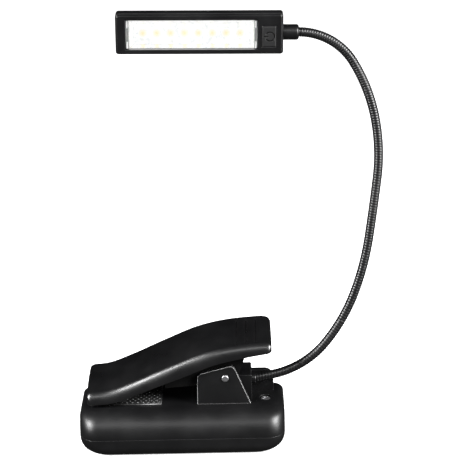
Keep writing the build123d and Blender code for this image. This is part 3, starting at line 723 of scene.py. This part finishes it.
def smooth_curve(corners, steps):
    """A curve through every corner, rounded evenly between them."""
    ends = [corners[0]] + list(corners) + [corners[-1]]
    curve = []
    for n in range(len(corners) - 1):
        a, b, c, d = (Vector(q) for q in ends[n:n + 4])
        for k in range(steps):
            t = k / steps
            curve.append(0.5 * (2 * b + (c - a) * t + (2 * a - 5 * b + 4 * c - d) * t * t
                                + (3 * b - 3 * c + d - a) * t * t * t))
    curve.append(Vector(corners[-1]))
    return curve


def bend_corner(start, corner, end, steps=8):
    """A rounded corner between two points."""
    curve = []
    for k in range(steps + 1):
        t = k / steps
        curve.append(Vector(start) * (1 - t) ** 2 + Vector(corner) * 2 * t * (1 - t) + Vector(end) * t * t)
    return curve


def at_share(curve, share):
    """The point a share of the way along a curve."""
    lengths = [(b - a).length for a, b in zip(curve, curve[1:])]
    left = share * sum(lengths)
    for a, b, length in zip(curve, curve[1:], lengths):
        if left <= length:
            return a + (b - a) * (left / length)
        left -= length
    return curve[-1].copy()


def lever_over_path():
    """The lever's side outline from its left bottom edge up, over the top and down its right end."""
    top = smooth_curve(LEVER_TOP, 14)
    left, right = Vector(LEVER_TOP[0]), Vector(LEVER_TOP[-1])
    inner = [q for q in top if left.x + LEFT_ROUND_LONG <= q.x <= right.x - RIGHT_ROUND_LONG]
    path = [Vector(LEVER_BOTTOM[0]), Vector((left.x, left.y - LEFT_SIDE_DOWN))]
    path += bend_corner((left.x, left.y - LEFT_ROUND_DOWN), left, inner[0])
    path += inner[1:-1]
    path += bend_corner(inner[-1], (right.x, right.y + 0.1), (right.x, right.y - RIGHT_ROUND_DOWN))
    path += [Vector(LEVER_BOTTOM[-1])]
    return path


def height_at(curve, x):
    """The height of a curve at a place along the lever."""
    x = min(max(x, curve[0].x), curve[-1].x)
    for a, b in zip(curve, curve[1:]):
        if a.x <= x <= b.x:
            return a.y + (b.y - a.y) * (x - a.x) / max(b.x - a.x, 1e-9)
    return curve[-1].y


def groove_cut(x, y):
    """How deep the grip grooves cut the lever's top at a place."""
    reach = min(1.0, max(0.0, (GROOVE_HALF - abs(y)) / GROOVE_RUN_OUT))
    cut = max(math.exp(-((x - g) / GROOVE_WIDTH) ** 2) for g in GROOVE_X)
    return GROOVE_DEPTH * cut * reach


def slope_rise(y):
    """How much the lever's top climbs, as a share of its height, from its front edge to the flat behind."""
    return (1 - FRONT_SHARE) * math.sin(math.pi / 2 * min(1.0, y / FRONT_SLOPE))


def lever_layers():
    """Places across the lever: (distance from its middle, share of full height, how far its ends draw in)."""
    layers = []
    steps = 22
    for k in range(steps + 1):
        angle = math.pi / 2 * k / steps
        y = FRONT_ROUND * (1 - math.cos(angle))
        rise = FRONT_LOW + (FRONT_SHARE - FRONT_LOW) * math.sin(angle) + slope_rise(y)
        layers.append((-LEVER_HALF + y, rise, LEVER_END_DRAW * (1 - math.sin(angle))))
    flat_to = 2 * LEVER_HALF - BACK_ROUND
    for k in range(1, 24):
        y = FRONT_ROUND + (flat_to - FRONT_ROUND) * k / 24
        layers.append((-LEVER_HALF + y, FRONT_SHARE + slope_rise(y), 0.0))
    for k in range(steps, -1, -1):
        angle = math.pi / 2 * k / steps
        y = LEVER_HALF - BACK_ROUND * (1 - math.cos(angle))
        rise = BACK_SHARE + (1 - BACK_SHARE) * math.sin(angle)
        layers.append((y, rise, LEVER_END_DRAW * (1 - math.sin(angle))))
    return layers


def lever_section(here, share, bottom, layers):
    """One closed section of the lever as (y, side view point): its skin front to back, then its hollow."""
    middle_x = (LEVER_TOP[0][0] + LEVER_TOP[-1][0]) / 2
    half_x = LEVER_TOP[-1][0] - middle_x
    end_x = half_x - LEVER_END_DRAW
    tall = here.y - height_at(bottom, here.x)
    rim_x = middle_x + end_x * (2 * share - 1)
    rim = Vector((rim_x, height_at(bottom, rim_x)))
    section = [(-LEVER_HALF, rim)]
    for y, rise, draw in layers:
        x = here.x - draw * (here.x - middle_x) / half_x
        z = height_at(bottom, x) + tall * rise
        if tall > GROOVE_LEAST_HEIGHT:
            z -= groove_cut(x, y + GROOVE_SHIFT_Y)
        section.append((y, Vector((x, z))))
    section.append((LEVER_HALF, rim))
    inside = LEVER_HALF - LEVER_WALL
    rim_in = middle_x + (end_x - LEVER_RIM_WALL) * (2 * share - 1)
    low_in = Vector((rim_in, height_at(bottom, rim_in)))
    under_x = middle_x + (here.x - middle_x) * (1 - LEVER_END_WALL / half_x)
    floor_z = height_at(bottom, under_x)
    roof = Vector((under_x, floor_z + max(LEAST_ROOM, tall - LEVER_ROOF) * min(1.0, tall / ROOF_FADE)))
    front_room = max(LEAST_ROOM, tall * FRONT_ROOF_SHARE - FRONT_ROOF_DOWN)
    front_roof = Vector((under_x, floor_z + front_room))
    return section + [(inside, low_in), (inside - ROOF_BACK_INSET, roof), (ROOF_FRONT_Y, roof),
                      (-inside + FRONT_ROOF_INSET, front_roof), (-inside, low_in)]


def make_lever():
    """The lever's skin: a hollow bar, low and round along its front edge, with three grip grooves on top."""
    path = lever_over_path()
    bottom = smooth_curve(LEVER_BOTTOM, 14)
    layers = lever_layers()
    stations = 320
    points = []
    for n in range(stations + 1):
        section = lever_section(at_share(path, n / stations), n / stations, bottom, layers)
        points += [Vector((spot.x, CLIP_Y + y, spot.y)) * MM for y, spot in section]
    skin = mesh_piece("lever_skin", points, ring_faces(stations + 1, len(section)), LEVER_BLACK)
    skin.data.set_sharp_from_angle(angle=math.radians(50))
    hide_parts("lever")
    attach(skin, "lever")


def make_lever_webs():
    """The two webs under the lever, just inside the bracket's ears; the pivot pin runs through them."""
    for name, y0, y1 in (("front", -WEB_OUTER, -WEB_INNER), ("back", WEB_INNER, WEB_OUTER)):
        points = [Vector((x, CLIP_Y + y, z)) * MM for y in (y0, y1) for x, z in WEB_OUTLINE]
        faces = ring_faces(2, len(WEB_OUTLINE))
        web = mesh_piece(f"lever_web_{name}", points, faces, WEB_SHADED_BLACK, smooth=False)
        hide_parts("lever")
        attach(web, "lever")


# -------------------------------------------------------------- battery box
# Millimetres; the edge names are the radii of the rounded edges.
BOX_HALF_LENGTH, BOX_HALF_DEPTH, BOX_HEIGHT = 54.95, 21.95, 23.98
BOX_FRONT_TOP, BOX_BACK_TOP, BOX_LOW_EDGE = 12.5, 4.5, 6.0
BOX_END_TOP, BOX_END_LOW = 4.0, 10.0
BOX_FRONT_CORNER, BOX_BACK_CORNER = 10.0, 4.5
BOX_SEAM = 10.6
BOX_SEAM_GAP = 0.15
TOP_SCREW_X, TOP_COUNTERBORE = 44.9, 3.3
BOTTOM_SCREW_X, BOTTOM_SCREW_Y, BOTTOM_COUNTERBORE = 38.0, 12.0, 2.9
DOOR_HALF, DOOR_RIGHT = 16.2, -1.4
DOOR_HEIGHTS = (0.3, 0.7, 1.1, 1.4)
DOOR_GRIP_X = (-40.0, -37.5, -35.0, -32.5)


def drawn_in(z, top_radius, low_radius):
    """How far a side is drawn in at a height by its rounded top and bottom edges."""
    if z > BOX_HEIGHT - top_radius:
        rise = z - (BOX_HEIGHT - top_radius)
        return top_radius - math.sqrt(max(0.0, top_radius ** 2 - rise ** 2))
    if z < low_radius:
        fall = low_radius - z
        return low_radius - math.sqrt(max(0.0, low_radius ** 2 - fall ** 2))
    return 0.0


def box_ring(z, steps=10):
    """The battery box's plan outline at a height, its front corners rounder than its back ones."""
    end = BOX_HALF_LENGTH - drawn_in(z, BOX_END_TOP, BOX_END_LOW)
    front = -BOX_HALF_DEPTH + drawn_in(z, BOX_FRONT_TOP, BOX_LOW_EDGE)
    rear = BOX_HALF_DEPTH - drawn_in(z, BOX_BACK_TOP, BOX_LOW_EDGE)
    ring = []
    corners = ((end, front, BOX_FRONT_CORNER, -90), (end, rear, BOX_BACK_CORNER, 0),
               (-end, rear, BOX_BACK_CORNER, 90), (-end, front, BOX_FRONT_CORNER, 180))
    for corner_x, corner_y, radius, start in corners:
        centre_x = corner_x - math.copysign(radius, corner_x)
        centre_y = corner_y - math.copysign(radius, corner_y)
        for k in range(steps + 1):
            angle = math.radians(start + 90 * k / steps)
            x, y = centre_x + radius * math.cos(angle), centre_y + radius * math.sin(angle)
            ring.append(Vector((x, y, z)) * MM)
    return ring


def box_part(name, low, high):
    """A solid slice of the battery box between two heights, its rings closest near both ends."""
    steps = 48
    heights = [low + (high - low) * (1 - math.cos(math.pi * n / steps)) / 2 for n in range(steps + 1)]
    points = []
    for z in heights:
        points += box_ring(z)
    around = len(points) // len(heights)
    return mesh_piece(name, points, ring_faces(len(heights), around), BOX_BLACK)


def bore(x, y, radius, low, high):
    """A round cutter, as cut_away takes it."""
    return (x - radius, y - radius, low), (x + radius, y + radius, high), True


def cut_away(piece, cutters):
    """Cuts boxes and round holes, given as (low corner, high corner, round or not), out of a piece."""
    for low, high, is_round in cutters:
        low, high = Vector(low) * MM, Vector(high) * MM
        middle, half = (low + high) / 2, (high - low) / 2
        if is_round:
            sides = 40
            angles = [2 * math.pi * k / sides for k in range(sides)]
            outline = [(math.cos(angle), math.sin(angle)) for angle in angles]
        else:
            outline = [(-1, -1), (1, -1), (1, 1), (-1, 1)]
        points = [Vector((middle.x + half.x * u, middle.y + half.y * v, z)) for z in (low.z, high.z)
                  for u, v in outline]
        cutter = mesh_piece("cutter", points, ring_faces(2, len(outline)), BOX_BLACK, smooth=False)
        cut = piece.modifiers.new("cut", "BOOLEAN")
        cut.operation = "DIFFERENCE"
        cut.solver = "EXACT"
        cut.object = cutter
        settled = bpy.data.meshes.new_from_object(piece.evaluated_get(bpy.context.evaluated_depsgraph_get()))
        piece.modifiers.clear()
        old = piece.data
        piece.data = settled
        bpy.data.meshes.remove(old)
        cutter_mesh = cutter.data
        bpy.data.objects.remove(cutter)
        bpy.data.meshes.remove(cutter_mesh)


def door_skin():
    """The battery door, its left end following the rounded corners of the box."""
    half, steps = DOOR_HALF, 30
    points = []
    for z in DOOR_HEIGHTS:
        end = BOX_HALF_LENGTH - drawn_in(z, BOX_END_TOP, BOX_END_LOW)
        front = -BOX_HALF_DEPTH + drawn_in(z, BOX_FRONT_TOP, BOX_LOW_EDGE)
        rear = BOX_HALF_DEPTH - drawn_in(z, BOX_BACK_TOP, BOX_LOW_EDGE)
        points.append(Vector((DOOR_RIGHT, -half, z)) * MM)
        points.append(Vector((DOOR_RIGHT, half, z)) * MM)
        for k in range(steps + 1):
            y = half - 2 * half * k / steps
            past_front = max(0.0, front + BOX_FRONT_CORNER - y)
            past_rear = max(0.0, y - (rear - BOX_BACK_CORNER))
            radius, past = (BOX_FRONT_CORNER, past_front) if past_front > 0 else (BOX_BACK_CORNER, past_rear)
            x = -end + radius - math.sqrt(max(0.0, radius ** 2 - past ** 2))
            points.append(Vector((x, y, z)) * MM)
    return mesh_piece("door_skin", points, ring_faces(len(DOOR_HEIGHTS), steps + 3), BOX_BLACK, smooth=False)


def make_battery_box():
    """Both shells of the box, hollow for the cells, with the door's channel and the screw holes."""
    cell_space_above = ((-50.5, -16.2, 0), (33, 16.5, 17.0), False)
    upper = box_part("box_upper", BOX_SEAM + BOX_SEAM_GAP, BOX_HEIGHT)
    cut_away(upper, [cell_space_above, bore(TOP_SCREW_X, 0, TOP_COUNTERBORE, 22.0, 30)])
    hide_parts("base_upper_shell")
    cell_space = ((-48.4, -15.8, -1), (-2.4, 15.8, 20), False)
    door_way = ((-80, -16.5, -1), (-1.1, 16.5, 1.7), False)
    door_grooves = ((-80, -17.5, 0.7), (-1.1, 17.5, 1.7), False)
    contact_space = ((-50.5, -14.5, 4.6), (-48, 14.5, 20), False)
    lower = box_part("box_lower", 0.0, BOX_SEAM)
    cut_away(lower, [cell_space, door_way, door_grooves,
                     bore(BOTTOM_SCREW_X, -BOTTOM_SCREW_Y, BOTTOM_COUNTERBORE, -1, 3.6),
                     bore(BOTTOM_SCREW_X, BOTTOM_SCREW_Y, BOTTOM_COUNTERBORE, -1, 3.6), contact_space])
    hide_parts("base_lower_shell")
    door = door_skin()
    cut_away(door, [((x - 0.5, -6, 0), (x + 0.5, 6, 0.7), False) for x in DOOR_GRIP_X])
    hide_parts("battery_door")
    for shell, body in ((upper, "base"), (lower, "base"), (door, "battery_door")):
        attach(shell, body)
        shell.data.set_sharp_from_angle(angle=math.radians(35))


# ------------------------------------------------------------------ jaw pad
# Metres.
PAD_DOT_PITCH_X = 0.0029
PAD_DOT_PITCH_Y = 0.0021
PAD_DOT_RADIUS = 0.00095
PAD_DOT_HEIGHT = 0.00055
PAD_DOT_SQUASH = 0.8
PAD_DOT_SINK = 0.00002
PAD_SLAB_BELOW = 0.0003
PAD_CHAMFER = 0.0003
PAD_LEFT_MARGIN, PAD_RIGHT_MARGIN, PAD_SIDE_MARGINS = 0.0016, 0.0014, 0.002


def make_jaw_pad():
    """The rubber pad on the box: a thin slab with staggered rows of low dots."""
    low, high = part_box("jaw_pad")
    slab_top = high.z - PAD_SLAB_BELOW
    points = []
    for inset, z in ((0.0, low.z), (0.0, slab_top - PAD_CHAMFER), (PAD_CHAMFER, slab_top)):
        for x, y in ((low.x + inset, low.y + inset), (high.x - inset, low.y + inset),
                     (high.x - inset, high.y - inset), (low.x + inset, high.y - inset)):
            points.append(Vector((x, y, z)))
    faces = ring_faces(3, 4)
    rows = int((high.y - low.y - PAD_SIDE_MARGINS) / PAD_DOT_PITCH_Y) + 1
    margin_y = ((high.y - low.y) - (rows - 1) * PAD_DOT_PITCH_Y) / 2
    for row in range(rows):
        y = low.y + margin_y + row * PAD_DOT_PITCH_Y
        x = low.x + PAD_LEFT_MARGIN + (PAD_DOT_PITCH_X / 2 if row % 2 else 0.0)
        while x < high.x - PAD_RIGHT_MARGIN:
            foot = Vector((x, y, slab_top - PAD_DOT_SINK))
            dome(points, faces, lambda u, v, w: foot + Vector((u, v, w)), PAD_DOT_RADIUS,
                 PAD_DOT_RADIUS * PAD_DOT_SQUASH, PAD_DOT_HEIGHT, around=12, rings=3)
            x += PAD_DOT_PITCH_X
    pad = mesh_piece("dotted_jaw_pad", points, faces, PAD_RUBBER)
    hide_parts("jaw_pad")
    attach(pad, "base")


# ------------------------------------------------------------------- staging
def make_floor():
    """A plain pale floor, dimmer in the lamp's own reflections than it looks to the eye."""
    half = 6.0
    z = cad_low.z - 0.0001
    floor = mesh_piece("floor", [(-half, -half, z), (half, -half, z), (half, half, z), (-half, half, z)],
                       [(0, 1, 2, 3)], floor_material(), smooth=False)


def floor_material():
    """Pale paper to the eye, and a dim grey to everything else."""
    material, tree, shader = start_material("pale_floor")
    link = tree.links.new
    grain = group_node(tree, moulded_grain, Grain_Size=0.002, Cloud_Size=0.3)
    tone = node(tree, "ShaderNodeMix", data_type="RGBA",
                inputs={"A": (0.90, 0.90, 0.90, 1), "B": (0.94, 0.94, 0.94, 1)})
    link(grain.outputs["Cloud"], tone.inputs["Factor"])
    link(tone.outputs["Result"], shader.inputs["Base Color"])
    shader.inputs["Roughness"].default_value = 0.9
    shader.inputs["Specular IOR Level"].default_value = 0.0
    shader.inputs["Emission Color"].default_value = (1, 1, 1, 1)
    shader.inputs["Emission Strength"].default_value = 0.75
    dim = node(tree, "ShaderNodeBsdfDiffuse", inputs={"Color": (0.03, 0.03, 0.03, 1)})
    rays = node(tree, "ShaderNodeLightPath")
    mix = node(tree, "ShaderNodeMixShader")
    link(rays.outputs["Is Camera Ray"], mix.inputs["Fac"])
    link(dim.outputs[0], mix.inputs[1])
    link(shader.outputs[0], mix.inputs[2])
    link(mix.outputs[0], tree.nodes["Material Output"].inputs["Surface"])
    return material


def make_world():
    """White to the eye, a dim grey studio to the lamp's surfaces."""
    world = bpy.data.worlds.new("studio")
    scene.world = world
    world.use_nodes = True
    tree = world.node_tree
    tree.nodes.clear()
    rays = node(tree, "ShaderNodeLightPath")
    white = node(tree, "ShaderNodeBackground", inputs={"Color": (1, 1, 1, 1), "Strength": 1.0})
    dim = node(tree, "ShaderNodeBackground", inputs={"Color": (1, 1, 1, 1), "Strength": 0.006})
    mix = node(tree, "ShaderNodeMixShader")
    out = node(tree, "ShaderNodeOutputWorld")
    link = tree.links.new
    link(rays.outputs["Is Camera Ray"], mix.inputs["Fac"])
    link(dim.outputs[0], mix.inputs[1])
    link(white.outputs[0], mix.inputs[2])
    link(mix.outputs[0], out.inputs["Surface"])


def softbox(name, at, aim, width, height, power):
    """A rectangular soft light aimed at a point."""
    data = bpy.data.lights.new(name, "AREA")
    data.shape = "RECTANGLE"
    data.size = width
    data.size_y = height
    data.energy = power
    light = bpy.data.objects.new(name, data)
    scene.collection.objects.link(light)
    light.location = at
    light.rotation_euler = (Vector(aim) - Vector(at)).to_track_quat("-Z", "Y").to_euler()


def make_lights():
    """Softboxes at both front sides, a broad one high in front, and a small one low on the right."""
    middle = (0.02, 0.0, 0.04)
    softbox("left_softbox", (-0.88, -0.50, 0.66), middle, width=0.44, height=0.56, power=34.0)
    softbox("right_softbox", (0.92, -0.48, 0.66), middle, width=0.44, height=0.56, power=34.0)
    softbox("front_softbox", (0.02, -0.95, 0.95), middle, width=0.9, height=0.22, power=2.6)
    softbox("right_low_softbox", (1.1, -0.45, 0.10), middle, width=0.25, height=0.35, power=6.0)


place_camera()
finish_cad_nodes()
make_gooseneck()
make_tray()
make_led_domes()
make_lens_ribs()
make_power_mark()
make_lever()
make_lever_webs()
make_battery_box()
make_jaw_pad()
make_floor()
make_world()
make_lights()
scene.view_settings.view_transform = "Standard"
scene.view_settings.look = "None"
